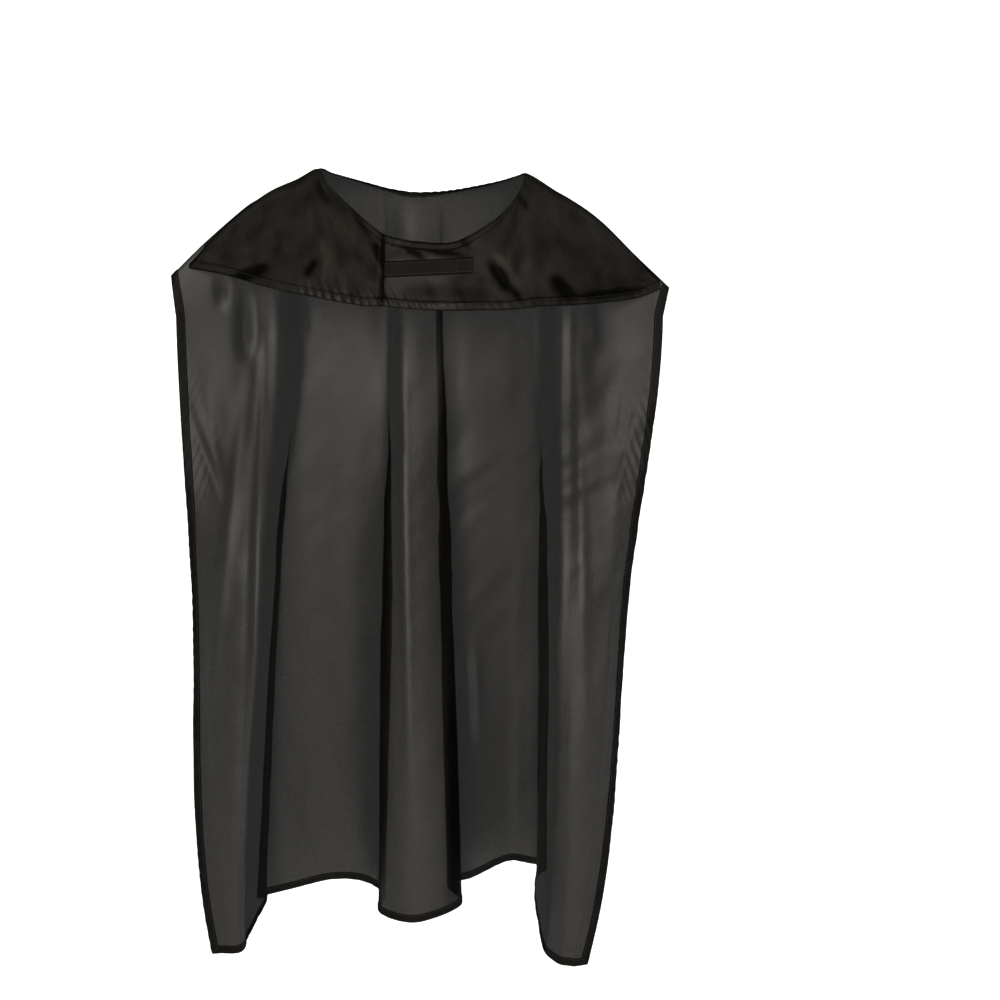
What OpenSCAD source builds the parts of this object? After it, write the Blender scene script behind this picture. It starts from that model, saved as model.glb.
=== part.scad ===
// Child's costume cape in thin black satin lining, shown as it hangs when worn and closed.
// The frame: origin at the centre of the neck opening, +X to the side, -Y to the wearer's
// front, +Z up. "Left" is the side at -X. Every cloth piece is a thin closed shell round a
// curved mid-surface, and every mid-surface is a fan of rails: one rail per fold line, each
// running from the shoulder or neckline down to the hem.

/* [Cloth] */
// Thickness of one layer of cloth, drawn thicker than the real 0.1 mm
cloth_t = 0.8; // [0.6:0.1:0.8]
// Air between a hem or tape and the cloth it is sewn to
sewn_gap = 0.5; // [0.45:0.05:0.55]

/* [Hems] */
// Width of the side hems
side_hem_w = 8; // [5:1:9]
// Width of the bottom hem
bottom_hem_w = 7; // [5:1:9]
// Width of the hem along the bottom of the front pieces
yoke_hem_w = 7; // [5:1:9]
// Width of the rolled hem round the neckline
neck_hem_w = 6; // [4:1:7]
// Height of the seam allowance inside each shoulder
seam_h = 7; // [5:1:9]

/* [Closure] */
// Width of the hook and loop tapes
tape_w = 13; // [10:1:14]
// Length of the loop tape on the right front
loop_len = 83; // [70:1:86]
// Length of the hook tape inside the left front's edge
hook_len = 12; // [8:1:13]

/* [Hang] */
// Drop from the neck corners to the hem's mean height
drop = 668; // [640:1:700]
// Depth of the hem's folds, as a share of the usual depth
fold_depth = 1; // [0.8:0.05:1]

/* [Hidden] */

cloth_colour = [0.13, 0.13, 0.125];
hem_colour = [0.08, 0.08, 0.077];
tape_colour = [0.05, 0.05, 0.05];

// Heights of the two levels at which every back rail is steered, and of the hem
upper_z = -100;
middle_z = -325;
hem_z = 25 - drop;
// How far the side edges bow outwards between the middle level and the hem
side_bow = 8;
// Seams lie in the plane y = 0, with the back cloth just behind and the front just ahead
back_y = 1.2;
front_y = -1.8;
// Rows of the grids, down each rail
shoulder_rows = 4;
lower_rows = 14;
front_rows = 7;
// Grid columns per gap between rails
splits = 2;

// Back rails, from the left edge to the right edge. Each is
// [top x, y, z], [upper x, y], [middle x, y], [hem x, y, height above the mean hem]
BACK = [
    [[-213, back_y, -65], [-209, -4], [-197, -31], [-180, -75, -4]],  // left side edge
    [[-184, back_y, -37], [-188, 3], [-187, -38], [-168, -79, -2]],   // left wing
    [[-150, back_y, -8], [-161, 12], [-175, -45], [-160, -82, -1]],   // left crease
    [[-136, back_y, 1], [-140, 24], [-147, -54], [-152, -79, 1]],     // left fold, crest
    [[-122, back_y, 9], [-123, 29], [-131, -50], [-150, -60, 7]],     // left fold, front edge
    [[-114, back_y, 13], [-114, 52], [-125, 20], [-145, 34, 4]],      // left fold, back edge
    [[-104, back_y, 17], [-107, 76], [-135, 70], [-156, 68, -5]],     // first hollow, start
    [[-85, back_y, 26], [-88, 79], [-106, 80], [-124, 90, -3]],       // left neck corner
    [[-74, 20, 22], [-72, 79], [-80, 81], [-88, 100, 2]],             // first hollow, middle
    [[-50, 46, 15], [-51, 79], [-55, 77], [-56, 90, 2]],              // first hollow, end
    [[-36, 55, 11], [-34, 82], [-29, 60], [-37, 54, 1]],              // middle fold, left back
    [[-28, 57, 9], [-26, 78], [-35, 40], [-39, 6, 3]],                // middle fold, left front
    [[-8, 61, 6], [-10, 68], [-9, 26], [-5, -10, 0]],                 // middle fold, crest
    [[12, 61, 6], [18, 77], [25, 48], [35, 6, 11]],                   // middle fold, right front
    [[24, 60, 7], [13, 83], [15, 68], [21, 48, 14]],                  // middle fold, right back
    [[38, 57, 9], [36, 86], [38, 86], [43, 84, 9]],                   // second hollow, start
    [[68, 40, 15], [66, 78], [70, 90], [75, 106, 17]],                // second hollow, middle
    [[85, 18, 20], [85, 70], [91, 88], [94, 104, 17]],                // second hollow, end
    [[93, back_y, 22], [98, 64], [113, 74], [114, 88, 16]],           // right neck corner
    [[104, back_y, 15], [109, 58], [105, 45], [103, 54, 15]],         // right fold, back edge
    [[111, back_y, 11], [119, 34], [116, -30], [106, -48, -3]],       // right fold, front edge
    [[131, back_y, 0], [139, 27], [131, -50], [118, -78, -10]],       // right fold, crest
    [[154, back_y, -16], [153, 12], [163, -45], [130, -83, -12]],     // right crease
    [[184, back_y, -45], [186, 3], [174, -38], [137, -81, -13]],      // right wing
    [[216, back_y, -75], [211, 3], [183, -31], [146, -76, -13]],      // right side edge
];
LAST = len(BACK) - 1;

// Front rails: [top on the shoulder or neckline, bottom on the yoke hem]
FRONT_LEFT = [
    [[-196, front_y, -54], [-197, -2.6, -58]],    // outer point on the shoulder
    [[-164, front_y, -21], [-164, -20, -63]],
    [[-130, front_y, 5],   [-130, -42, -71]],
    [[-104, front_y, 17],  [-104, -58, -76]],
    [[-85, front_y, 26],   [-83, -69, -79]],      // neck corner
    [[-76, -21, 14],       [-72, -75, -81]],
    [[-60, -46, 0],        [-57, -82, -83]],
    [[-41, -67, -16],      [-41, -91, -85]],
    [[-25, -79, -28],      [-26, -95, -85]],      // centre edge, on top of the right front
];
FRONT_RIGHT = [
    [[-37, -66, -21],      [-38, -84, -84]],      // centre edge, under the left front
    [[-20, -76, -29],      [-20, -88, -86]],
    [[4, -80, -33],        [4, -90, -88]],
    [[33, -78, -33],       [33, -88, -89]],
    [[62, -60, -18],       [60, -80, -89]],
    [[79, -38, -3],        [77, -75, -89]],
    [[89, -17, 12],        [92, -69, -88]],
    [[93, front_y, 22],    [104, -63, -87]],      // neck corner
    [[120, front_y, 6],    [124, -52, -87]],
    [[154, front_y, -16],  [156, -32, -86]],
    [[184, front_y, -45],  [186, -14, -83]],
    [[206, front_y, -66],  [208, -2.8, -76]],     // outer point on the shoulder
];

// ---- curves ----

function mix(a, b, t) = a + (b - a) * t;
function unit(v) = v / norm(v);

// Catmull-Rom spline through p1 and p2
function spline(p0, p1, p2, p3, t) =
    0.5 * (2 * p1 + (p2 - p0) * t + (2 * p0 - 5 * p1 + 4 * p2 - p3) * t * t
           + (3 * p1 - p0 - 3 * p2 + p3) * t * t * t);

// Hermite curve from a to b with end slopes ma and mb
function hermite(a, b, ma, mb, t) =
    a * (2 * pow(t, 3) - 3 * t * t + 1) + ma * (pow(t, 3) - 2 * t * t + t)
    + b * (3 * t * t - 2 * pow(t, 3)) + mb * (pow(t, 3) - t * t);

// Columns at every rail and, between rails, on a smooth curve across them
function fan(rails, k) =
    [for (u = [0 : 1 / k : len(rails) - 1])
        let (i = min(floor(u), len(rails) - 2), t = u - i,
             p1 = rails[i], p2 = rails[i + 1],
             p0 = i > 0 ? rails[i - 1] : 2 * p1 - p2,
             p3 = i < len(rails) - 2 ? rails[i + 2] : 2 * p2 - p1)
        spline(p0, p1, p2, p3, t)];

// ---- the back panel's rails ----

// Outward bow of the side edges at share w of the way from the middle level to the hem
function bow(i, w) =
    let (left = max(0, 1 - i / 6), right = max(0, 1 - (LAST - i) / 6))
    (right - left) * side_bow * 6.75 * w * w * (1 - w);

function hem_point(r) = [r[3][0], r[3][1] * fold_depth, hem_z + r[3][2]];

function shoulder_point(r, a) =
    [mix(r[0][0], r[1][0], 1 - cos(a)), mix(r[0][1], r[1][1], sin(a)),
     mix(r[0][2], upper_z, 1 - cos(a))];

// A point below the upper level: w from 0 at the upper level to 2 at the hem
function hanging_point(i, w) =
    let (r = BACK[i], hem = hem_point(r), low = [hem[0], hem[1]],
         slope = (low - r[1]) / (hem[2] - upper_z),
         hem_slope = (low - r[2]) / (hem[2] - middle_z),
         d1 = middle_z - upper_z, d2 = hem[2] - middle_z,
         p = w <= 1 ? hermite(r[1], r[2], [0, 0], slope * d1, w)
                    : hermite(r[2], low, slope * d2, hem_slope * d2, w - 1),
         z = w <= 1 ? mix(upper_z, middle_z, w) : mix(middle_z, hem[2], w - 1))
    [p[0] + (w > 1 ? bow(i, w - 1) : 0), p[1], z];

function back_rail(i) =
    concat([for (k = [0 : shoulder_rows - 1]) shoulder_point(BACK[i], 90 * k / shoulder_rows)],
           [for (k = [0 : lower_rows]) hanging_point(i, 2 * k / lower_rows)]);

// ---- the front pieces' rails ----

// Over the shoulder a rail is a quarter ellipse; below the neckline it is nearly straight
function front_point(r, s) =
    let (top = r[0], low = r[1], round = 0.9 - 0.008 * abs(top[1]), a = 90 * s,
         arc = [mix(top[0], low[0], s), mix(top[1], low[1], sin(a)),
                mix(top[2], low[2], 1 - cos(a))])
    mix(mix(top, low, s), arc, round);

function front_rail(r) = [for (k = [0 : front_rows]) front_point(r, k / front_rows)];

// A grid whose top row keeps to its own side of the shoulder seam
function seamed(g, behind) =
    [for (c = g) [for (j = [0 : len(c) - 1])
        j > 0 ? c[j] : [c[0][0], behind ? max(c[0][1], back_y) : min(c[0][1], front_y), c[0][2]]]];

back_grid = seamed(fan([for (i = [0 : LAST]) back_rail(i)], splits), true);
left_grid = seamed(fan([for (r = FRONT_LEFT) front_rail(r)], splits), false);
right_grid = seamed(fan([for (r = FRONT_RIGHT) front_rail(r)], splits), false);

// ---- shells ----

// Unit normal of a grid at column i, row j: it points to +Y where the cloth faces front
function normal(g, i, j) =
    let (across = g[min(i + 1, len(g) - 1)][j] - g[max(i - 1, 0)][j],
         down = g[i][min(j + 1, len(g[0]) - 1)] - g[i][max(j - 1, 0)])
    unit(cross(across, down));
function normals(g) =
    [for (i = [0 : len(g) - 1]) [for (j = [0 : len(g[0]) - 1]) normal(g, i, j)]];

// Closed shell between the offsets lo and hi of a grid of columns, along the given normals
module shell(g, nrm, lo, hi) {
    n = len(g);
    m = len(g[0]);
    near = [for (i = [0 : n - 1], j = [0 : m - 1]) g[i][j] + nrm[i][j] * hi];
    far = [for (i = [0 : n - 1], j = [0 : m - 1]) g[i][j] + nrm[i][j] * lo];
    function a(i, j) = i * m + j;
    function b(i, j) = n * m + i * m + j;
    faces = concat(
        [for (i = [0 : n - 2], j = [0 : m - 2], half = [0, 1])
            half == 0 ? [a(i, j), a(i, j + 1), a(i + 1, j + 1)]
                      : [a(i, j), a(i + 1, j + 1), a(i + 1, j)]],
        [for (i = [0 : n - 2], j = [0 : m - 2], half = [0, 1])
            half == 0 ? [b(i, j), b(i + 1, j + 1), b(i, j + 1)]
                      : [b(i, j), b(i + 1, j), b(i + 1, j + 1)]],
        [for (i = [0 : n - 2]) each [
            [a(i, 0), a(i + 1, 0), b(i + 1, 0)], [a(i, 0), b(i + 1, 0), b(i, 0)],
            [a(i + 1, m - 1), a(i, m - 1), b(i, m - 1)],
            [a(i + 1, m - 1), b(i, m - 1), b(i + 1, m - 1)]]],
        [for (j = [0 : m - 2]) each [
            [a(0, j + 1), a(0, j), b(0, j)], [a(0, j + 1), b(0, j), b(0, j + 1)],
            [a(n - 1, j), a(n - 1, j + 1), b(n - 1, j + 1)],
            [a(n - 1, j), b(n - 1, j + 1), b(n - 1, j)]]]);
    polyhedron(concat(near, far), faces);
}

module cloth(g) {
    color(cloth_colour) shell(g, normals(g), -cloth_t / 2, cloth_t / 2);
}

// A strip sewn on one face of the cloth: layer 1 lies on it, layer 2 on layer 1, and so on.
// A strip is [points, normals], so that it keeps its distance from the cloth that it follows
module sewn(strip, layer, side, colour) {
    inner = layer * (cloth_t + sewn_gap) - cloth_t / 2;
    color(colour)
        if (side > 0) shell(strip[0], strip[1], inner, inner + cloth_t);
        else shell(strip[0], strip[1], -inner - cloth_t, -inner);
}

// Point at width w from p towards q, and the normal there
function inward(p, q, w) = p + unit(q - p) * w;
function turned(p, q, np, nq, w) = unit(mix(np, nq, min(1, w / norm(q - p))));

function rows(g) = len(g[0]) - 1;

// Strip along column e of a grid, from row top to row rows - low, reaching towards column k
function side_strip(g, e, k, w, top = 0, low = 0) =
    let (js = [for (j = [top : rows(g) - low]) j],
         edge = [for (j = js) g[e][j]],
         inner = [for (j = js) inward(g[e][j], g[k][j], w)],
         edge_n = [for (j = js) normal(g, e, j)],
         inner_n = [for (j = js) turned(g[e][j], g[k][j], normal(g, e, j), normal(g, k, j), w)])
    e < k ? [[edge, inner], [edge_n, inner_n]] : [[inner, edge], [inner_n, edge_n]];

// Strip along row e of a grid, from column a to column b, reaching towards row k
function end_strip(g, e, k, a, b, w) =
    [[for (i = [a : b]) let (p = g[i][e], q = inward(g[i][e], g[i][k], w))
         e < k ? [p, q] : [q, p]],
     [for (i = [a : b])
         let (n = normal(g, i, e), m = turned(g[i][e], g[i][k], n, normal(g, i, k), w))
         e < k ? [n, m] : [m, n]]];

// Grid columns that hold the neck corners
back_neck_left = 7 * splits;
back_neck_right = 18 * splits;
left_neck = 4 * splits;
right_neck = 7 * splits;

// ---- sub-parts on the back ----

module back_panel() { cloth(back_grid); }

module side_hem_left() {
    sewn(side_strip(back_grid, 0, 1, side_hem_w, 2), 1, -1, hem_colour);
}

module side_hem_right() {
    last = len(back_grid) - 1;
    sewn(side_strip(back_grid, last, last - 1, side_hem_w, 2), 1, -1, hem_colour);
}

module bottom_hem() {
    low = rows(back_grid);
    sewn(end_strip(back_grid, low, low - 1, splits, (LAST - 1) * splits, bottom_hem_w), 1, -1,
         hem_colour);
}

module neck_hem_back() {
    sewn(end_strip(back_grid, 0, 1, back_neck_left + 1, back_neck_right - 1, neck_hem_w), 1, -1,
         hem_colour);
}

// Seam allowance that hangs inside a shoulder line, through the tops of the given rails
module shoulder_seam(from, to) {
    tops = [for (i = [from : to]) [BACK[i][0][0], 0, BACK[i][0][2] - 1.2]];
    grid = fan([for (p = tops) [p, p - [0, 0, seam_h]]], splits);
    color(hem_colour) shell(grid, normals(grid), -0.75, 0.6);
}

module shoulder_seam_left() { shoulder_seam(1, 7); }

module shoulder_seam_right() { shoulder_seam(18, LAST - 1); }

// ---- sub-parts on the left front ----

module front_left() { cloth(left_grid); }

module yoke_hem_left() {
    last = len(left_grid) - 1;
    sewn(end_strip(left_grid, front_rows, front_rows - 1, splits, last - 1, yoke_hem_w), 1, 1,
         hem_colour);
}

module neck_hem_left() {
    last = len(left_grid) - 1;
    sewn(end_strip(left_grid, 0, 1, left_neck, last - 1, neck_hem_w), 1, 1, hem_colour);
}

module front_edge_left() {
    last = len(left_grid) - 1;
    sewn(side_strip(left_grid, last, last - 1, neck_hem_w, 1, 1), 1, 1, hem_colour);
}

// ---- sub-parts on the right front ----

module front_right() { cloth(right_grid); }

module yoke_hem_right() {
    last = len(right_grid) - 1;
    sewn(end_strip(right_grid, front_rows, front_rows - 1, 2, last - splits, yoke_hem_w), 1, 1,
         hem_colour);
}

module neck_hem_right() {
    sewn(end_strip(right_grid, 0, 1, 1, right_neck, neck_hem_w), 1, 1, hem_colour);
}

module front_edge_right() {
    sewn(side_strip(right_grid, 0, 1, yoke_hem_w, 1, 1), 1, 1, hem_colour);
}

// ---- hook and loop ----

// Height of the tapes' upper edge at x = 0, and how it rises to the right
tape_top = -48;
tape_rise = 0.045;

// Share of the way down the rail r at which its height is z
function share_at(r, z, lo = 0, hi = 1, steps = 14) =
    let (s = (lo + hi) / 2)
    steps == 0 ? s
    : front_point(r, s)[2] > z ? share_at(r, z, s, hi, steps - 1)
    : share_at(r, z, lo, s, steps - 1);

// Strip across the rails numbers u of a front piece, as tall as a tape
function tape_strip(rails, us) =
    let (tops = [for (u = us) rail_between(rails, u)],
         g = [for (r = tops) let (top = tape_top + r[1][0] * tape_rise)
              [for (z = [top, top - tape_w / 2, top - tape_w]) front_point(r, share_at(r, z))]])
    [g, normals(g)];

// A rail between two rails, for a fractional rail number
function rail_between(rails, u) =
    let (i = min(floor(u), len(rails) - 2), t = u - i)
    [for (end = [0, 1])
        spline(i > 0 ? rails[i - 1][end] : 2 * rails[i][end] - rails[i + 1][end],
               rails[i][end], rails[i + 1][end],
               i < len(rails) - 2 ? rails[i + 2][end] : 2 * rails[i + 1][end] - rails[i][end],
               t)];

// Rail number at which a front piece's hem reaches x
function rail_at(rails, x, i = 0) =
    i >= len(rails) - 2 || rails[i + 1][1][0] >= x
        ? i + (x - rails[i][1][0]) / (rails[i + 1][1][0] - rails[i][1][0])
        : rail_at(rails, x, i + 1);

// Rail numbers from x0 to x1, with every grid column between them
function columns(rails, x0, x1) =
    let (a = rail_at(rails, x0), b = rail_at(rails, x1))
    concat([a], [for (k = [ceil(a * splits) : floor(b * splits)])
                    if (k / splits > a + 0.05 && k / splits < b - 0.05) k / splits], [b]);

module loop_strip() {
    sewn(tape_strip(FRONT_RIGHT, columns(FRONT_RIGHT, -35, loop_len - 35)), 1, -1, tape_colour);
}

module hook_patch() {
    sewn(tape_strip(FRONT_LEFT, columns(FRONT_LEFT, -27 - hook_len, -27)), 2, 1, tape_colour);
}

back_panel();
side_hem_left();
side_hem_right();
bottom_hem();
neck_hem_back();
shoulder_seam_left();
shoulder_seam_right();
front_left();
yoke_hem_left();
neck_hem_left();
front_edge_left();
hook_patch();
front_right();
yoke_hem_right();
neck_hem_right();
front_edge_right();
loop_strip();
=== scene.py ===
"""Looks of a child's costume cape in thin black lining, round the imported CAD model.

All lengths are in millimetres until a mesh is made; Blender's are in metres. The cloth's
mid-surfaces are the CAD model's own: fans of rails, one rail per fold line.
"""

import math

import bpy
import numpy as np
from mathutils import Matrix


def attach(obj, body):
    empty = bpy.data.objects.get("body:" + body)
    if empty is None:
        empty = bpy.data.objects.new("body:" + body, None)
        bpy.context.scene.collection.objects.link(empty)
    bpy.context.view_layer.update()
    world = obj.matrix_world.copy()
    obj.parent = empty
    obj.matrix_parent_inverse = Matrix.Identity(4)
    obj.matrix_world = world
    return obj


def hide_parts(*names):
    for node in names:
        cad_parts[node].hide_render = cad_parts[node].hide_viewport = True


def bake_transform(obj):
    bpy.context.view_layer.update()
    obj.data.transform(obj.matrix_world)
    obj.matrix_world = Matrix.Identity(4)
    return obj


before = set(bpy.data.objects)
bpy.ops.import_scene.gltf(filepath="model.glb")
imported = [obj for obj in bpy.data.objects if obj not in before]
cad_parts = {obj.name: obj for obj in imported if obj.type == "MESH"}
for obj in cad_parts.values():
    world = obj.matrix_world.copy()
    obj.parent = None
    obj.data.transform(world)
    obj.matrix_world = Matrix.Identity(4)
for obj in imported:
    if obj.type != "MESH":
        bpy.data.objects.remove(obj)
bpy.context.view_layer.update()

MM = 0.001
rng = np.random.default_rng(11)

# ---- sizes, in millimetres ----

CLOTH_T = 0.35        # one layer of cloth as it is shown
HEM_T = 0.45          # the turned-in layers of a hem
TAPE_T = 0.8          # hook or loop tape with its backing
SEWN_GAP = 0.12
SIDE_HEM_W = 8
BOTTOM_HEM_W = 7
YOKE_HEM_W = 7
NECK_HEM_W = 6
SEAM_H = 7
TAPE_W = 13
UPPER_Z, MIDDLE_Z = -100, -325
HEM_Z = 25 - 668
SIDE_BOW = 8
TAPE_TOP_Z, TAPE_RISE = -48, 0.045  # height of the tapes at x = 0, and their slope along x
STITCH_SHARE = 0.86   # how far across a hem its stitches lie
EDGE_ROWS = 10        # rows left free at both ends of the hem on a centre edge

# ---- amounts of relief and of painted shade ----

YOKE_RIPPLE = 0.4        # height of the larger ripples in the front pieces
BACK_DEEP_CREASE = 3.5   # creases deeper than this also get painted shade
# in the front pieces, creases deeper than this also get painted shade
YOKE_DEEP_CREASE = 1.5
BORDER_SHADE = 0.9       # painted shade on the outermost points of a hem or tape

# Back rails: [top x, y, z], [upper x, y], [middle x, y], [hem x, y, height above the mean hem]
B_Y, F_Y = 1.2, -1.8  # the seam's back and front sides
BACK = [
    [[-213, B_Y, -65], [-209, -4], [-197, -31], [-180, -75, -4]],  # left side edge
    [[-184, B_Y, -37], [-188, 3], [-187, -38], [-168, -79, -2]],  # left wing
    [[-150, B_Y, -8], [-161, 12], [-175, -45], [-160, -82, -1]],  # left crease
    [[-136, B_Y, 1], [-140, 24], [-147, -54], [-152, -79, 1]],  # left fold, crest
    [[-122, B_Y, 9], [-123, 29], [-131, -50], [-150, -60, 7]],  # left fold, front edge
    [[-114, B_Y, 13], [-114, 52], [-125, 20], [-145, 34, 4]],   # left fold, back edge
    [[-104, B_Y, 17], [-107, 76], [-135, 70], [-156, 68, -5]],  # first hollow, start
    [[-85, B_Y, 26], [-88, 79], [-106, 80], [-124, 90, -3]],    # left neck corner
    [[-74, 20, 22], [-72, 79], [-80, 81], [-88, 100, 2]],       # first hollow, middle
    [[-50, 46, 15], [-51, 79], [-55, 77], [-56, 90, 2]],        # first hollow, end
    [[-36, 55, 11], [-34, 82], [-29, 60], [-37, 54, 1]],        # middle fold, left back
    [[-28, 57, 9], [-26, 78], [-35, 40], [-39, 6, 3]],          # middle fold, left front
    [[-8, 61, 6], [-10, 68], [-9, 26], [-5, -10, 0]],           # middle fold, crest
    [[12, 61, 6], [18, 77], [25, 48], [35, 6, 11]],             # middle fold, right front
    [[24, 60, 7], [13, 83], [15, 68], [21, 48, 14]],            # middle fold, right back
    [[38, 57, 9], [36, 86], [38, 86], [43, 84, 9]],             # second hollow, start
    [[68, 40, 15], [66, 78], [70, 90], [75, 106, 17]],          # second hollow, middle
    [[85, 18, 20], [85, 70], [91, 88], [94, 104, 17]],          # second hollow, end
    [[93, B_Y, 22], [98, 64], [113, 74], [114, 88, 16]],        # right neck corner
    [[104, B_Y, 15], [109, 58], [105, 45], [103, 54, 15]],      # right fold, back edge
    [[111, B_Y, 11], [119, 34], [116, -30], [106, -48, -3]],    # right fold, front edge
    [[131, B_Y, 0], [139, 27], [131, -50], [118, -78, -10]],    # right fold, crest
    [[154, B_Y, -16], [153, 12], [163, -45], [130, -83, -12]],  # right crease
    [[184, B_Y, -45], [186, 3], [174, -38], [137, -81, -13]],   # right wing
    [[216, B_Y, -75], [211, 3], [183, -31], [146, -76, -13]],   # right side edge
]
LAST = len(BACK) - 1
LEFT_NECK_RAIL, RIGHT_NECK_RAIL = 7, 18

# Front rails: [top on the shoulder or neckline, bottom on the yoke hem]
FRONT_LEFT = [
    [[-196, F_Y, -54], [-197, -2.6, -58]],    # outer point on the shoulder
    [[-164, F_Y, -21], [-164, -20, -63]],
    [[-130, F_Y, 5], [-130, -42, -71]],
    [[-104, F_Y, 17], [-104, -58, -76]],
    [[-85, F_Y, 26], [-83, -69, -79]],        # neck corner
    [[-76, -21, 14], [-72, -75, -81]],
    [[-60, -46, 0], [-57, -82, -83]],
    [[-41, -67, -16], [-41, -91, -85]],
    [[-25, -79, -28], [-26, -95, -85]],       # centre edge, on top of the right front
]
FRONT_RIGHT = [
    [[-37, -66, -21], [-38, -84, -84]],       # centre edge, under the left front
    [[-20, -76, -29], [-20, -88, -86]],
    [[4, -80, -33], [4, -90, -88]],
    [[33, -78, -33], [33, -88, -89]],
    [[62, -60, -18], [60, -80, -89]],
    [[79, -38, -3], [77, -75, -89]],
    [[89, -17, 12], [92, -69, -88]],
    [[93, F_Y, 22], [104, -63, -87]],         # neck corner
    [[120, F_Y, 6], [124, -52, -87]],
    [[154, F_Y, -16], [156, -32, -86]],
    [[184, F_Y, -45], [186, -14, -83]],
    [[206, F_Y, -66], [208, -2.8, -76]],      # outer point on the shoulder
]

# Creases in the front pieces as seen from the front: x and z at both ends, half width, and
# depth, which is above 0 for a valley and below 0 for a ridge
LEFT_CREASES = [
    (-66, -34, -26, -80, 5, -1.2), (-58, -30, -20, -70, 3.5, 0.8),     # fold to the slit
    (-44, -30, -30, -52, 3.5, -0.9), (-33, -32, -28, -50, 4, 2.6),     # hollow by the slit
    (-26, -24, -25, -90, 2.4, 2.6),
    (-152, -64, -124, -54, 5, 2.8), (-196, -60, -140, -70, 4, 1.7),    # wedge at the hem
    (-92, -62, -83, -48, 4.0, 3.0), (-80, -66, -74, -46, 4, -0.9),     # drop-shaped hollow
    (-83, 14, -74, -2, 3, 1.8), (-50, -12, -38, -28, 2.6, 1.7),        # below the neckline
    (-160, -34, -100, -46, 10, -0.7), (-120, -14, -76, -36, 10, -0.8),  # soft diagonals
    (-112, -2, -96, -34, 8, 0.7), (-180, -46, -150, -56, 7, 0.6),
]
RIGHT_CREASES = [
    (62, -50, 76, -70, 4.5, 3.2), (74, -66, 88, -80, 4, 1.9),          # drop-shaped hollow
    (66, -40, 92, -70, 5, -0.8),
    (114, -62, 132, -82, 6, 3.2), (134, -80, 190, -76, 4.5, 2.2),      # wedge at the hem
    (-8, -38, 8, -46, 2.4, 1.8), (14, -41, 44, -44, 2.4, 1.7),         # above the tape
    (34, -28, 46, -38, 3, 1.7), (84, 6, 94, -8, 3, 1.8),               # below the neckline
    (100, 2, 112, -30, 8, -0.7), (120, -20, 180, -52, 10, -0.8),       # soft diagonals
    (110, -34, 150, -56, 9, 0.6), (62, -30, 80, -56, 7, -0.6),
    (20, -62, 52, -78, 8, -0.6), (-10, -66, 14, -80, 7, 0.6),
]
# Small folds in the back panel, in the same form
BACK_CREASES = [
    (-137, -80, -138, -420, 4.5, -2.2), (-147, -140, -176, -400, 6, -2.4),
    (-18, -80, -11, -480, 4.5, -2.6), (126, -80, 121, -430, 4, -2.2),
    (137, -100, 142, -420, 5, -2.2),
    (-172, -70, -170, -88, 5, 4.5), (-163, -70, -161, -90, 4, -1.0),
    (-152, -84, -153, -132, 5.5, 5.0), (-144, -84, -144, -130, 4.5, -2.2),
    (-116, -86, -115, -124, 5.5, 4.0), (-108, -84, -107, -120, 5, -2.5),
    (148, -84, 150, -126, 5.5, 4.5), (140, -84, 141, -122, 5, -2.0),
    (40, -415, 43, -500, 4, 2.6), (47, -420, 50, -500, 4, -1.8),
    (-196, -170, -176, -224, 4, 1.2), (-192, -200, -170, -258, 4, -1.2),
    (-184, -168, -172, -236, 4, 1.0), (184, -172, 172, -230, 4, 1.2),
    (180, -205, 168, -262, 4, -1.2), (172, -170, 166, -220, 4, 1.0),
]

# Strips of painted shade, darker and duller cloth, in the same form, with a strength from 0 to 1.
# They
# are listed one by one: they paint the folds deeper, and paint shade where the lights leave the
# cloth too bright.
BACK_PAINTED_SHADE_STRIPS = [
    (27, -105, 29, -470, 6, 0.45), (31, -470, 37, -700, 11, 0.6),       # right of the middle fold
    (20, -95, 17, -420, 5, 0.6), (24, -420, 28, -690, 6, 0.6),
    (-33, -150, -33, -480, 4.5, 0.6), (-37, -480, -38, -640, 4.5, 0.4),  # left of it
    (-146, -560, -141, -690, 7, 0.4), (119, -560, 112, -690, 6, 0.4),    # side folds, low down
    (104, -330, 104, -690, 4, 0.4), (-137, -330, -146, -640, 4, 0.4),
    (-188, -90, -180, -260, 20, 0.22), (192, -90, 174, -260, 22, 0.3),  # wings
    (62, -150, 62, -520, 22, 0.3),                                       # second hollow
    (-172, -150, -166, -260, 7, 0.35), (160, -150, 152, -260, 7, 0.35),  # inside of the wings
]
YOKE_PAINTED_SHADE_STRIPS = [
    (-16, -72, 52, -76, 9, 0.6), (-16, -38, 36, -40, 6, 0.55),           # about the tape
    (-34, -50, -26, -84, 7, 0.4), (130, -66, 196, -66, 16, 0.35),
    (60, -78, 120, -80, 7, 0.25), (-30, -84, 40, -86, 4, -0.25),
    (-164, -68, -124, -58, 5, 0.45), (68, -54, 76, -64, 6, 0.4),
    (8, -60, 18, -88, 4, 0.2), (30, -60, 44, -88, 4, 0.25),
]


# ---- curves and surfaces ----

def spline_across(rails, u):
    """Catmull-Rom across an array of rails (rail, point, 3), at the rail numbers u."""
    first, last = 2 * rails[0] - rails[1], 2 * rails[-1] - rails[-2]
    padded = np.concatenate([first[None], rails, last[None]])
    i = np.minimum(u.astype(int), len(rails) - 2)
    t = (u - i)[:, None, None]
    p0, p1, p2, p3 = (padded[i + k] for k in range(4))
    return 0.5 * (2 * p1 + (p2 - p0) * t + (2 * p0 - 5 * p1 + 4 * p2 - p3) * t ** 2
                  + (3 * p1 - p0 - 3 * p2 + p3) * t ** 3)


def hermite(a, b, ma, mb, t):
    return (a * (2 * t ** 3 - 3 * t ** 2 + 1) + ma * (t ** 3 - 2 * t ** 2 + t)
            + b * (3 * t ** 2 - 2 * t ** 3) + mb * (t ** 3 - t ** 2))


def smooth_step(x, lo, hi):
    t = np.clip((x - lo) / (hi - lo), 0, 1)
    return t * t * (3 - 2 * t)


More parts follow.
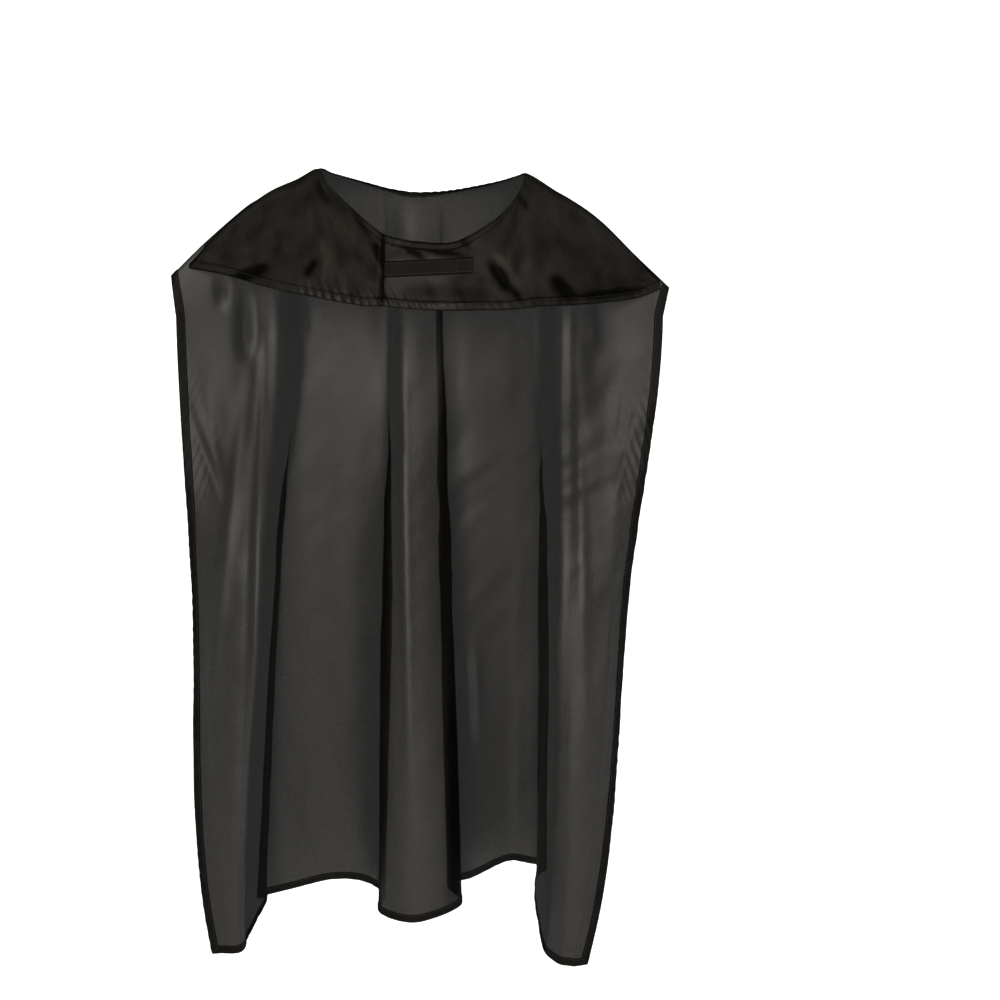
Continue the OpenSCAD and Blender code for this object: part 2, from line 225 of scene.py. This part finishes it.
def back_rail(i, shoulder_rows, lower_rows):
    top, upper, middle, low = (np.array(p, float) for p in BACK[i])
    hem_z = HEM_Z + low[2]
    a = math.pi / 2 * np.linspace(0, 1, shoulder_rows, endpoint=False) ** 1.6
    shoulder = np.stack([top[0] + (upper[0] - top[0]) * (1 - np.cos(a)),
                         top[1] + (upper[1] - top[1]) * np.sin(a),
                         top[2] + (UPPER_Z - top[2]) * (1 - np.cos(a))], 1)
    slope = (low[:2] - upper) / (hem_z - UPPER_Z)
    hem_slope = (low[:2] - middle) / (hem_z - MIDDLE_Z)
    d1, d2 = MIDDLE_Z - UPPER_Z, hem_z - MIDDLE_Z
    w = np.linspace(0, 2, lower_rows + 1)[:, None]
    above = hermite(upper, middle, np.zeros(2), slope * d1, w)
    below = hermite(middle, low[:2], slope * d2, hem_slope * d2, w - 1)
    plan = np.where(w <= 1, above, below)
    z = np.where(w <= 1, UPPER_Z + d1 * w, MIDDLE_Z + d2 * (w - 1))
    side = max(0, 1 - (LAST - i) / 6) - max(0, 1 - i / 6)
    k = np.clip(w[:, 0] - 1, 0, 1)
    plan[:, 0] += side * SIDE_BOW * 6.75 * k * k * (1 - k)
    return np.concatenate([shoulder, np.concatenate([plan, z], 1)])


def front_rail(rail, rows):
    top, low = (np.array(p, float) for p in rail)
    share = 0.9 - 0.008 * abs(top[1])
    s = np.linspace(0, 1, rows + 1)[:, None]
    s = s - 0.6 * np.sin(2 * math.pi * s) / (2 * math.pi)  # closer rows at the hems
    straight = top + (low - top) * s
    arc = np.concatenate([straight[:, :1],
                          top[1] + (low[1] - top[1]) * np.sin(s * math.pi / 2),
                          top[2] + (low[2] - top[2]) * (1 - np.cos(s * math.pi / 2))], 1)
    return straight + (arc - straight) * share


def fan(rails, splits):
    rails = np.array(rails)
    return spline_across(rails, np.linspace(0, len(rails) - 1, (len(rails) - 1) * splits + 1))


def grid_normals(g):
    n = np.cross(np.gradient(g, axis=0), np.gradient(g, axis=1))
    return n / np.linalg.norm(n, axis=2, keepdims=True)


def lengths(g, axis):
    """Running length along one axis of a grid, as an array like the grid."""
    step = np.linalg.norm(np.diff(g, axis=axis), axis=2)
    zero = np.zeros_like(step[:1] if axis == 0 else step[:, :1])
    return np.concatenate([zero, np.cumsum(step, axis=axis)], axis=axis)


# ---- small ripples and creases ----

def waves(x, z, count, size, stretch=1.0):
    """Soft irregular ripples about size apart, longer along z where stretch is above 1."""
    total = np.zeros_like(x)
    for _ in range(count):
        angle = rng.uniform(0, math.pi)
        k = 2 * math.pi / (size * rng.uniform(0.7, 1.5))
        total += np.sin(k * (x * math.cos(angle) + z / stretch * math.sin(angle))
                        + rng.uniform(0, 2 * math.pi))
    return total / math.sqrt(count)


def creases(x, z, table):
    total = np.zeros_like(x)
    for x0, z0, x1, z1, width, depth in table:
        long = math.hypot(x1 - x0, z1 - z0)
        along = ((x - x0) * (x1 - x0) + (z - z0) * (z1 - z0)) / long
        off = ((x - x0) * (z1 - z0) - (z - z0) * (x1 - x0)) / long
        ends = smooth_step(along, -0.25 * long, 0.3 * long)
        ends = ends * (1 - smooth_step(along, 0.7 * long, 1.25 * long))
        total += depth * np.exp(-(off / width) ** 2) * ends
    return total


def puckers(along, away, size, depth, reach):
    """Uneven little waves along a sewn edge that die out over reach, leaning as they go."""
    phase = 2 * math.pi * (along + 0.5 * away) / size + rng.uniform(0, 6)
    uneven = 1.6 * np.sin(along / (2.7 * size) + rng.uniform(0, 6))
    uneven = uneven + 1.1 * np.sin(along / (1.3 * size) + rng.uniform(0, 6))
    strength = 0.6 + 0.4 * np.sin(along / (4.1 * size) + rng.uniform(0, 6))
    return depth * strength * np.sin(phase + uneven) * np.exp(-(away / reach) ** 2)


def welt(away, width):
    """The slight roll of a hem on the outer face, with a groove along its stitching."""
    roll = np.sin(math.pi * np.clip(away / width, 0, 1)) ** 0.6
    return 0.35 * np.exp(-((away - width) / 0.9) ** 2) - 0.55 * roll


def edge_distances(g):
    s, t = lengths(g, 0), lengths(g, 1)
    return s, s[-1:] - s, t, t[:, -1:] - t


# ---- meshes ----

def new_object(name, points, faces, material):
    mesh = bpy.data.meshes.new(name)
    mesh.from_pydata((points * MM).tolist(), [], faces)
    mesh.polygons.foreach_set("use_smooth", [True] * len(faces))
    mesh.materials.append(material)
    obj = bpy.data.objects.new(name, mesh)
    bpy.context.collection.objects.link(obj)
    return obj


def shell(name, g, lo, hi, material, normals=None, shade=0.0):
    """Closed shell between the offsets lo and hi along a grid's normals. Its attributes hold
    the cloth's own flat coordinates for the threads, and the painted shade at each point."""
    nrm = grid_normals(g) if normals is None else normals
    if (np.cross(np.gradient(g, axis=0), np.gradient(g, axis=1)) * nrm).sum() < 0:
        g, nrm = g[:, ::-1], nrm[:, ::-1]
        lo, hi, shade = (o[:, ::-1] if np.ndim(o) == 2 else o for o in (lo, hi, shade))
    n, m = g.shape[:2]
    lo, hi = (np.broadcast_to(o, (n, m))[..., None] for o in (lo, hi))
    points = np.concatenate([(g + nrm * hi).reshape(-1, 3), (g + nrm * lo).reshape(-1, 3)])
    k = np.arange(n * m).reshape(n, m)
    a, b, c, d = k[:-1, :-1], k[:-1, 1:], k[1:, 1:], k[1:, :-1]
    near = np.stack([a, d, c, b], -1).reshape(-1, 4)
    far = np.stack([a, b, c, d], -1).reshape(-1, 4) + n * m
    ring = np.concatenate([k[:-1, 0], k[-1, :-1], k[:0:-1, -1], k[0, :0:-1]])
    after = np.roll(ring, -1)
    rim = np.stack([after, ring, ring + n * m, after + n * m], -1)
    obj = new_object(name, points, np.concatenate([near, far, rim]).tolist(), material)
    weave = obj.data.attributes.new("weave", "FLOAT_VECTOR", "POINT")
    s, t = lengths(g, 0).mean(1)[:, None], lengths(g, 1).mean(0)[None]
    flat = np.stack(np.broadcast_arrays(s, t, 0.0), -1).reshape(-1, 3)
    weave.data.foreach_set("vector", (np.concatenate([flat, flat]) * MM).ravel())
    if np.ndim(shade) == 2:
        depth = obj.data.attributes.new("shade", "FLOAT", "POINT")
        depth.data.foreach_set("value", np.tile(shade.ravel(), 2).astype(np.float32))
    mark_rim(obj.data, np.concatenate([ring, ring + n * m]))
    return obj


def mark_rim(mesh, rim):
    """Sharp edges round the rim, so that the flat of the cloth is shaded on its own."""
    pairs = np.empty(len(mesh.edges) * 2, int)
    mesh.edges.foreach_get("vertices", pairs)
    inside = np.isin(pairs.reshape(-1, 2), rim).all(1)
    sharp = mesh.attributes.new("sharp_edge", "BOOLEAN", "EDGE")
    sharp.data.foreach_set("value", inside)


def band(surface, edge, width, points=7, start=0, stop=None):
    """Strip of a surface along one edge: its grid, with the edge first across, and normals."""
    g, nrm = surface
    turn = {"left": lambda h: h.transpose(1, 0, 2),
            "right": lambda h: h[::-1].transpose(1, 0, 2),
            "top": lambda h: h,
            "bottom": lambda h: h[:, ::-1]}[edge]
    g, nrm = turn(g)[start:stop], turn(nrm)[start:stop]
    far = lengths(g, 1)
    at = np.linspace(0, width, points)
    both = np.concatenate([g, nrm], 2)
    out = np.array([[np.interp(at, far[i], both[i, :, k]) for k in range(6)]
                    for i in range(len(g))]).transpose(0, 2, 1)
    out[..., 3:] /= np.linalg.norm(out[..., 3:], axis=2, keepdims=True)
    return out[..., :3], out[..., 3:]


def patch(surface, xs, tops, height, points=9):
    """Part of a surface between the given x, hanging down by height from the given tops."""
    both = np.concatenate(surface, 2)
    at_x = np.array([[np.interp(xs, both[:, j, 0], both[:, j, k]) for k in range(6)]
                     for j in range(both.shape[1])])
    out = np.empty((len(xs), points, 6))
    for i, top in enumerate(tops):
        z = np.linspace(top, top - height, points)
        for k in range(6):
            out[i, :, k] = np.interp(-z, -at_x[:, 2, i], at_x[:, k, i])
    out[..., 3:] /= np.linalg.norm(out[..., 3:], axis=2, keepdims=True)
    return out[..., :3], out[..., 3:]


def pillow(shape, edge=0.35):
    """Share of full thickness over a strip, thinner at both edges across it."""
    u = np.linspace(-1, 1, shape[1])
    return np.broadcast_to(edge + (1 - edge) * np.sqrt(np.clip(1 - u ** 6, 0, 1)), shape)


def sewn(name, strip, layer, side, material, thickness=HEM_T, ends=False):
    """A strip sewn on one face of the cloth, in layer 1, 2 ... from it."""
    g, nrm = strip
    inner = CLOTH_T / 2 + SEWN_GAP + (layer - 1) * (HEM_T + SEWN_GAP)
    full = pillow(g.shape[:2])
    if ends:
        full = full * pillow(g.shape[1::-1]).T
    # painted shade along both borders of the strip
    painted_border_shade = np.zeros(g.shape[:2])
    painted_border_shade[:, [0, -1]] = BORDER_SHADE
    return shell(name, g, inner, inner + thickness * full, material, nrm * side, painted_border_shade)


STITCH_RINGS, STITCH_SIDES = 5, 6


def thread_row(strip, share, out, pitch=3.0, long=2.2, radius=0.2):
    """Stitches along a strip at a share of its width, lying out above the mid-surface."""
    g, nrm = strip
    k = min(int(share * (g.shape[1] - 1)), g.shape[1] - 2)
    f = share * (g.shape[1] - 1) - k
    line = g[:, k] * (1 - f) + g[:, k + 1] * f
    up = nrm[:, k] * (1 - f) + nrm[:, k + 1] * f
    run = np.concatenate([[0], np.cumsum(np.linalg.norm(np.diff(line, axis=0), axis=1))])
    starts = np.arange(pitch / 2, run[-1] - pitch, pitch)
    starts = starts + rng.uniform(-0.15, 0.15, len(starts))
    at = starts[:, None] + np.linspace(0, long, STITCH_RINGS)
    path = np.stack([np.interp(at, run, line[:, c]) for c in range(3)], -1)
    top = np.stack([np.interp(at, run, up[:, c]) for c in range(3)], -1)
    top /= np.linalg.norm(top, axis=2, keepdims=True)
    ahead = path[:, -1:] - path[:, :1]
    ahead = ahead / np.linalg.norm(ahead, axis=2, keepdims=True)
    across = np.cross(ahead, top)
    sign = 1 if out > 0 else -1
    lift = np.array([-0.25, 0.02, 0.1, 0.02, -0.25])[None, :, None] * sign
    path = path + top * (out + lift)
    width = np.array([0.45, 0.95, 1, 0.95, 0.45]) * radius
    a = np.arange(STITCH_SIDES) * 2 * math.pi / STITCH_SIDES
    ring = (across[:, :, None] * np.cos(a)[None, None, :, None]
            + top[:, :, None] * np.sin(a)[None, None, :, None])
    return path[:, :, None] + ring * width[None, :, None, None]


def threads(name, rows, material):
    """One mesh of closed stitches from several rows of them."""
    rings = np.concatenate(rows)
    sides, points = STITCH_SIDES, STITCH_RINGS * STITCH_SIDES
    base = (np.arange(len(rings)) * points)[:, None, None]
    j, k = np.meshgrid(np.arange(STITCH_RINGS - 1), np.arange(sides), indexing="ij")
    here, beside = j * sides + k, j * sides + (k + 1) % sides
    quads = np.stack([here, beside, beside + sides, here + sides], -1)
    quads = (quads.reshape(1, -1, 4) + base).reshape(-1, 4)
    first = (np.arange(sides - 1, -1, -1)[None] + base[:, 0]).tolist()
    last = (np.arange(points - sides, points)[None] + base[:, 0]).tolist()
    return new_object(name, rings.reshape(-1, 3), quads.tolist() + first + last, material)


# ---- materials ----

FULLY_SHADED = (0.001, 0.001, 0.001)  # colour of the cloth where the painted shade attribute is 1


def node(tree, kind, **values):
    made = tree.nodes.new(kind)
    for key, value in values.items():
        if key in made.inputs:
            made.inputs[key].default_value = value
        else:
            setattr(made, key, value)
    return made


def cloth_material(name, colour, spread, roughness, bump, specular, alpha=1.0, alpha_spread=0,
                   sheen=0.0, patchy=0.25):
    """Black lining: uneven threads both ways, with a soft gloss that varies over the cloth.

    The shade attribute, where a mesh has one, paints shade: it makes the cloth darker and duller.
    """
    mat = bpy.data.materials.new(name)
    mat.use_nodes = True
    tree = mat.node_tree
    link = tree.links.new
    shader = tree.nodes["Principled BSDF"]
    weave = node(tree, "ShaderNodeAttribute", attribute_name="weave")

    def scaled(sx, sy):
        mapping = node(tree, "ShaderNodeMapping")
        mapping.inputs["Scale"].default_value = (sx, sy, 1)
        link(weave.outputs["Vector"], mapping.inputs["Vector"])
        return mapping

    def noise(vector, scale, detail):
        made = node(tree, "ShaderNodeTexNoise", Scale=scale, Detail=detail)
        link(vector.outputs["Vector"], made.inputs["Vector"])
        return made

    def maths(operation, a, b):
        made = node(tree, "ShaderNodeMath", operation=operation)
        for socket, value in zip(made.inputs, (a, b)):
            if isinstance(value, (int, float)):
                socket.default_value = value
            else:
                link(value, socket)
        return made.outputs[0]

    warp = noise(scaled(1900, 45), 1.0, 2.0).outputs[0]
    weft = noise(scaled(40, 1900), 1.0, 2.0).outputs[0]
    blotch = noise(scaled(1, 1), 26.0, 3.0).outputs[0]
    slub = maths("ADD", warp, weft)

    ramp = node(tree, "ShaderNodeMapRange")
    ramp.inputs["From Min"].default_value = 0.6
    ramp.inputs["From Max"].default_value = 1.4
    link(slub, ramp.inputs["Value"])
    mix = node(tree, "ShaderNodeMix", data_type="RGBA")
    dark = [c * (1 - spread) for c in colour]
    light = [c * (1 + spread) for c in colour]
    mix.inputs[6].default_value = (*dark, 1)
    mix.inputs[7].default_value = (*light, 1)
    soft = maths("MULTIPLY", noise(scaled(1, 1), 55.0, 2.0).outputs[0], 3.0)
    soft = maths("MULTIPLY", maths("SUBTRACT", soft, 1.0), patchy)
    fine = maths("MULTIPLY", ramp.outputs["Result"], 1 - patchy)
    link(maths("ADD", soft, fine), mix.inputs[0])
    # painted shade: the shade attribute mixes the colour towards near black
    shade = node(tree, "ShaderNodeAttribute", attribute_name="shade")
    deep = node(tree, "ShaderNodeMix", data_type="RGBA")
    deep.inputs[7].default_value = (*FULLY_SHADED, 1)
    link(mix.outputs[2], deep.inputs[6])
    link(shade.outputs["Fac"], deep.inputs[0])
    link(deep.outputs[2], shader.inputs["Base Color"])

    rough = node(tree, "ShaderNodeMapRange")
    rough.inputs["To Min"].default_value = roughness - 0.06
    rough.inputs["To Max"].default_value = roughness + 0.06
    link(blotch, rough.inputs["Value"])
    link(rough.outputs["Result"], shader.inputs["Roughness"])

    if alpha_spread:
        see = node(tree, "ShaderNodeMapRange")
        see.inputs["From Min"].default_value = 0.7
        see.inputs["From Max"].default_value = 1.3
        see.inputs["To Min"].default_value = alpha - alpha_spread
        see.inputs["To Max"].default_value = alpha + alpha_spread
        link(slub, see.inputs["Value"])
        link(see.outputs["Result"], shader.inputs["Alpha"])
    else:
        shader.inputs["Alpha"].default_value = alpha

    relief = node(tree, "ShaderNodeBump", Strength=bump, Distance=0.0004)
    link(slub, relief.inputs["Height"])
    link(relief.outputs["Normal"], shader.inputs["Normal"])
    shader.inputs["Sheen Weight"].default_value = sheen
    shader.inputs["Sheen Roughness"].default_value = 0.4
    # gloss dies out where the cloth is seen edge on, and the painted shade takes it away as well
    facing = node(tree, "ShaderNodeLayerWeight", Blend=0.5)
    gloss = node(tree, "ShaderNodeMapRange", interpolation_type="SMOOTHSTEP")
    gloss.inputs["From Min"].default_value = 0.1
    gloss.inputs["From Max"].default_value = 0.62
    gloss.inputs["To Min"].default_value = specular
    gloss.inputs["To Max"].default_value = 0.0
    link(facing.outputs["Facing"], gloss.inputs["Value"])
    outside_painted_shade = maths("SUBTRACT", 1.0, shade.outputs["Fac"])
    link(maths("MULTIPLY", gloss.outputs["Result"], outside_painted_shade),
         shader.inputs["Specular IOR Level"])
    shader.inputs["Specular IOR Level"].default_value = specular
    return mat


WARM = (0.008, 0.0072, 0.006)
YOKE = (0.0195, 0.0182, 0.0158)
DARK = (0.006, 0.0056, 0.0049)
TAPE = (0.009, 0.0085, 0.0076)
THREAD = (0.045, 0.042, 0.037)
cloth = cloth_material("cloth", WARM, spread=0.2, roughness=0.45, bump=0.35, specular=0.43,
                       alpha=0.885, alpha_spread=0.009, sheen=0.02)
yoke_cloth = cloth_material("yoke_cloth", YOKE, spread=0.5, roughness=0.45, bump=0.15,
                            specular=0.16, alpha=0.89, alpha_spread=0.008, patchy=0.7)
hem_cloth = cloth_material("hem_cloth", DARK, spread=0.5, roughness=0.5, bump=0.4,
                           specular=0.09, alpha=0.98, patchy=0.6)
seam_cloth = cloth_material("seam_cloth", DARK, spread=0.3, roughness=0.5, bump=0.6,
                            specular=0.12, alpha=0.97)
tape = cloth_material("tape", TAPE, spread=0.4, roughness=0.75, bump=1.0, specular=0.12,
                      sheen=0.03)
thread = cloth_material("thread", THREAD, spread=0.3, roughness=0.5, bump=0.3, specular=0.3,
                        sheen=0.03)

# ---- the back ----

SPLITS = 12
SHOULDER_ROWS = 24
LOWER_ROWS = 136
g = fan([back_rail(i, SHOULDER_ROWS, LOWER_ROWS) for i in range(LAST + 1)], SPLITS)
g[:, 0, 1] = np.maximum(g[:, 0, 1], B_Y)
left, right, top, bottom = edge_distances(g)
x, z = g[..., 0], g[..., 2]
run = lengths(g, 0)
calm = smooth_step(top, 6, 45)
ripple = calm * (0.5 * waves(run, z, 9, 60, 4.5) + 0.22 * waves(run, z, 9, 24, 2.5))
ripple += creases(x, z, BACK_CREASES)
ripple += puckers(top, left, 11, 0.55, 9) + puckers(top, right, 11, 0.55, 9)
ripple += puckers(run, bottom, 12, 0.4, 9)
wing = np.exp(-((z + 215) / 55) ** 2)
ripple += wing * puckers(top, left, 15, 0.7, 28) + wing * puckers(top, right, 16, 0.6, 28)
ripple = ripple * smooth_step(top, 0, 10)
nape = smooth_step(x, -92, -80) * smooth_step(-x, -100, -88)
ripple += nape * (puckers(run, top, 8, 0.3, 7) - welt(top, NECK_HEM_W))
g = g + grid_normals(g) * ripple[..., None]
back = (g, grid_normals(g))
# painted shade: in the deepest creases, in the listed strips, along the top edge and along the
# stitching of the back neck hem
painted_shade = creases(x, z, [c for c in BACK_CREASES if c[5] > BACK_DEEP_CREASE]) / 6
painted_shade += creases(x, z, BACK_PAINTED_SHADE_STRIPS) + 0.8 * smooth_step(-top, -4, -1)
painted_shade += nape * 0.6 * np.exp(-((top - NECK_HEM_W) / 1.1) ** 2)
painted_shade = np.clip(painted_shade, 0, 0.85)

back_cloth = shell("cape_back", g, -CLOTH_T / 2, CLOTH_T / 2, cloth, shade=painted_shade)
left_side = band(back, "left", SIDE_HEM_W, start=1)
right_side = band(back, "right", SIDE_HEM_W, start=1)
low_edge = band(back, "bottom", BOTTOM_HEM_W, start=SPLITS // 2, stop=-(SPLITS // 2))
neck_edge = band(back, "top", NECK_HEM_W, start=LEFT_NECK_RAIL * SPLITS + 2,
                 stop=RIGHT_NECK_RAIL * SPLITS - 1)
back_pieces = [
    (sewn("hem_side_left", left_side, 1, -1, hem_cloth), "side_hem_left"),
    (sewn("hem_side_right", right_side, 1, -1, hem_cloth), "side_hem_right"),
    (sewn("hem_bottom", low_edge, 1, -1, hem_cloth), "bottom_hem"),
    (sewn("hem_neck_back", neck_edge, 1, -1, hem_cloth), "neck_hem_back"),
]


def seam_allowance(name, start, stop):
    """The seam's raw edges, pressed together, hanging inside the shoulder line."""
    tops = np.array([[BACK[i][0][0], 0, BACK[i][0][2] - 1.2] for i in range(start, stop + 1)])
    down = np.linspace(0, SEAM_H, 6)
    h = fan(np.stack([tops - [0, 0, d] for d in down], 1), 10)
    along = lengths(h, 0)
    h[..., 1] += np.sin(along / 5.5 + 1.3 * np.sin(along / 17)) * down / SEAM_H * 0.25
    return shell(name, h, -0.4, 0.3, seam_cloth)


back_pieces += [
    (seam_allowance("seam_left", 1, LEFT_NECK_RAIL), "shoulder_seam_left"),
    (seam_allowance("seam_right", RIGHT_NECK_RAIL, LAST - 1), "shoulder_seam_right"),
]
over_hem = CLOTH_T / 2 + SEWN_GAP + HEM_T
back_threads = threads(
    "thread_back",
    [thread_row(s, STITCH_SHARE, out) for s in (left_side, right_side, low_edge, neck_edge)
     for out in (-over_hem, CLOTH_T / 2)], thread)

# ---- the front pieces ----

F_SPLITS = 14
F_ROWS = 72


def front_surface(rails, table):
    """A front piece with its creases, ripples and puckered hems: its surface and its painted
    shade.
    """
    g = fan([front_rail(r, F_ROWS) for r in rails], F_SPLITS)
    g[:, 0, 1] = np.minimum(g[:, 0, 1], F_Y)
    top, bottom = edge_distances(g)[2:]
    x, z = g[..., 0], g[..., 2]
    run = lengths(g, 0)
    deep = creases(x, z, [c for c in table if c[5] > YOKE_DEEP_CREASE])
    shape = creases(x, z, [c for c in table if c[5] <= YOKE_DEEP_CREASE]) + 0.45 * deep
    shape += YOKE_RIPPLE * waves(x, z, 10, 40, 1.4) + 0.15 * waves(x, z, 10, 16, 1.0)
    body = smooth_step(top, 2, 12) * (0.3 + 0.7 * smooth_step(bottom, 0, 9))
    outer = smooth_step(-np.abs(x), -206, -175)
    shape = shape * body
    shape += puckers(run, bottom, 8.5, 1.1, 10) + welt(bottom, YOKE_HEM_W)
    neck = smooth_step(-np.abs(x), -100, -80)
    shape += neck * (puckers(run, top, 8, 0.35, 8) + welt(top, NECK_HEM_W))
    g = g + grid_normals(g) * (shape * outer)[..., None]
    # painted shade: in the deep creases, in the listed strips, along the hem edges and their
    # stitching, and along the top edge beyond the neckline
    painted_shade = 0.9 * np.clip(deep / 2.4, 0, 1) + creases(x, z, YOKE_PAINTED_SHADE_STRIPS)
    low = smooth_step(-bottom, -1.6, -0.4) + 0.7 * np.exp(-((bottom - YOKE_HEM_W) / 0.9) ** 2)
    high = neck * (smooth_step(-top, -1.8, -0.6) + 0.7 * np.exp(-((top - NECK_HEM_W) / 0.9) ** 2))
    high += (1 - neck) * smooth_step(-top, -7, -3)
    return (g, grid_normals(g)), np.clip(painted_shade + 0.8 * low + 0.8 * high, 0, 0.9)


front_l, shade_l = front_surface(FRONT_LEFT, LEFT_CREASES)
front_r, shade_r = front_surface(FRONT_RIGHT, RIGHT_CREASES)

left_cloth = shell("cape_front_left", front_l[0], -CLOTH_T / 2, CLOTH_T / 2, yoke_cloth,
                   shade=shade_l)
right_cloth = shell("cape_front_right", front_r[0], -CLOTH_T / 2, CLOTH_T / 2, yoke_cloth,
                    shade=shade_r)

left_low = band(front_l, "bottom", YOKE_HEM_W, start=F_SPLITS, stop=-3)
left_neck = band(front_l, "top", NECK_HEM_W, start=4 * F_SPLITS, stop=-3)
left_edge = band(front_l, "right", NECK_HEM_W, start=EDGE_ROWS, stop=-EDGE_ROWS)
left_pieces = [
    (sewn("hem_yoke_left", left_low, 1, 1, hem_cloth), "yoke_hem_left"),
    (sewn("hem_neck_left", left_neck, 1, 1, hem_cloth), "neck_hem_left"),
    (sewn("hem_front_left", left_edge, 1, 1, hem_cloth), "front_edge_left"),
]
hook_x = np.linspace(-39, -27, 16)
hook = patch(front_l, hook_x, TAPE_TOP_Z + TAPE_RISE * hook_x, TAPE_W)
left_pieces.append((sewn("hook_tape", hook, 2, 1, tape, TAPE_T, ends=True), "hook_patch"))
left_threads = threads(
    "thread_left",
    [thread_row(s, STITCH_SHARE, out) for s in (left_low, left_neck, left_edge)
     for out in (over_hem, -CLOTH_T / 2)], thread)

right_low = band(front_r, "bottom", YOKE_HEM_W, start=2, stop=-F_SPLITS)
right_neck = band(front_r, "top", NECK_HEM_W, start=3, stop=7 * F_SPLITS)
right_edge = band(front_r, "left", YOKE_HEM_W, start=EDGE_ROWS, stop=-EDGE_ROWS)
right_pieces = [
    (sewn("hem_yoke_right", right_low, 1, 1, hem_cloth), "yoke_hem_right"),
    (sewn("hem_neck_right", right_neck, 1, 1, hem_cloth), "neck_hem_right"),
    (sewn("hem_front_right", right_edge, 1, 1, hem_cloth), "front_edge_right"),
]
loop_x = np.linspace(-35, 48, 90)
loop = patch(front_r, loop_x, TAPE_TOP_Z + TAPE_RISE * loop_x, TAPE_W)
right_pieces.append((sewn("loop_tape", loop, 1, -1, tape, TAPE_T, ends=True), "loop_strip"))


def across(strip, at):
    """The line over a strip at a share of its length, as a strip of its own."""
    g, nrm = strip
    i = int(at * (len(g) - 1))
    return g[i:i + 3].transpose(1, 0, 2), nrm[i:i + 3].transpose(1, 0, 2)


over_tape = -(CLOTH_T / 2 + SEWN_GAP + TAPE_T)
tape_stitch = {"out": over_tape, "pitch": 2.6, "long": 2.0}
right_threads = threads(
    "thread_right",
    [thread_row(s, STITCH_SHARE, out) for s in (right_low, right_neck, right_edge)
     for out in (over_hem, -CLOTH_T / 2)]
    + [thread_row(loop, share, **tape_stitch) for share in (0.13, 0.87)]
    + [thread_row(across(loop, at), 0.5, **tape_stitch) for at in (0.03, 0.84, 0.965)],
    thread)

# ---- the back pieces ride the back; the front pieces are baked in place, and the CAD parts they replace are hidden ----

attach(back_cloth, "back")
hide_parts("back_panel")
for piece, cad in back_pieces:
    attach(piece, "back")
    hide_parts(cad)
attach(back_threads, "back")

for body, main, cad, pieces, sewing in (
        ("left_front", left_cloth, "front_left", left_pieces, left_threads),
        ("right_front", right_cloth, "front_right", right_pieces, right_threads)):
    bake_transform(main)
    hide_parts(cad)
    for piece, cad_node in pieces:
        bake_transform(piece)
        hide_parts(cad_node)
    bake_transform(sewing)

# ---- floor, backdrop and light ----


def backdrop_material():
    """White paper, lit from behind beyond the cape and plain on the near part of the floor."""
    mat = bpy.data.materials.new("backdrop")
    mat.use_nodes = True
    tree = mat.node_tree
    shader = tree.nodes["Principled BSDF"]
    shader.inputs["Base Color"].default_value = (0.7, 0.7, 0.7, 1)
    shader.inputs["Roughness"].default_value = 0.9
    shader.inputs["Specular IOR Level"].default_value = 0.0
    shader.inputs["Emission Color"].default_value = (1, 1, 1, 1)
    place = node(tree, "ShaderNodeTexCoord")
    split = node(tree, "ShaderNodeSeparateXYZ")
    fade = node(tree, "ShaderNodeMapRange")
    fade.inputs["From Min"].default_value = -0.6
    fade.inputs["From Max"].default_value = 0.5
    fade.inputs["To Min"].default_value = 0.12
    fade.inputs["To Max"].default_value = 1.0
    tree.links.new(place.outputs["Object"], split.inputs[0])
    tree.links.new(split.outputs["Y"], fade.inputs["Value"])
    tree.links.new(fade.outputs["Result"], shader.inputs["Emission Strength"])
    return mat


def backdrop():
    """A pale floor that curves up into a wall behind."""
    floor_z, wall_y, radius = -1.02, 3.2, 0.8
    a = np.linspace(0, math.pi / 2, 17)
    line = [(-6.0, floor_z)]
    line += [(wall_y - radius + radius * math.sin(t), floor_z + radius - radius * math.cos(t))
             for t in a]
    line.append((wall_y, 4.0))
    points = np.array([[x, y, z] for y, z in line for x in (-7.0, 7.0)]) / MM
    faces = [[2 * i, 2 * i + 1, 2 * i + 3, 2 * i + 2] for i in range(len(line) - 1)]
    return new_object("backdrop", points, faces, backdrop_material())


LAMP_COLOUR = (1.0, 0.93, 0.82)
CAPE_CENTRE = (0, 0, -0.2)


def softbox(name, place, size, power):
    """An area light that faces the cape."""
    light = bpy.data.lights.new(name, "AREA")
    light.shape = "RECTANGLE"
    light.size, light.size_y = size
    light.energy = power
    light.color = LAMP_COLOUR
    obj = bpy.data.objects.new(name, light)
    bpy.context.collection.objects.link(obj)
    obj.location = place
    x, y, z = (a - b for a, b in zip(CAPE_CENTRE, place))
    obj.rotation_euler = (math.atan2(math.hypot(x, y), -z), 0, math.atan2(y, x) - math.pi / 2)
    return obj


floor = backdrop()
lights = [
    softbox("light_left", (-0.35, -2.3, 0.4), (0.5, 0.8), 26),
    softbox("light_right", (0.65, -2.2, 0.4), (0.5, 0.8), 14),
    softbox("light_top", (0.1, -0.7, 1.9), (1.2, 0.6), 1.5),
]

ROOM_LIGHT = 0.08
world = bpy.data.worlds.new("studio")
world.use_nodes = True
world.node_tree.nodes["Background"].inputs["Color"].default_value = (1, 1, 1, 1)
world.node_tree.nodes["Background"].inputs["Strength"].default_value = ROOM_LIGHT
bpy.context.scene.world = world
bpy.context.scene.view_settings.view_transform = "Standard"

# ---- camera ----

camera = bpy.data.objects.new("camera", bpy.data.cameras.new("camera"))
bpy.context.collection.objects.link(camera)
camera.location = (0.070, -1.7778, 0.0216)
camera.rotation_euler = (math.radians(81), 0, 0)
camera.data.lens = 74.06
camera.data.sensor_width = 36
bpy.context.scene.camera = camera
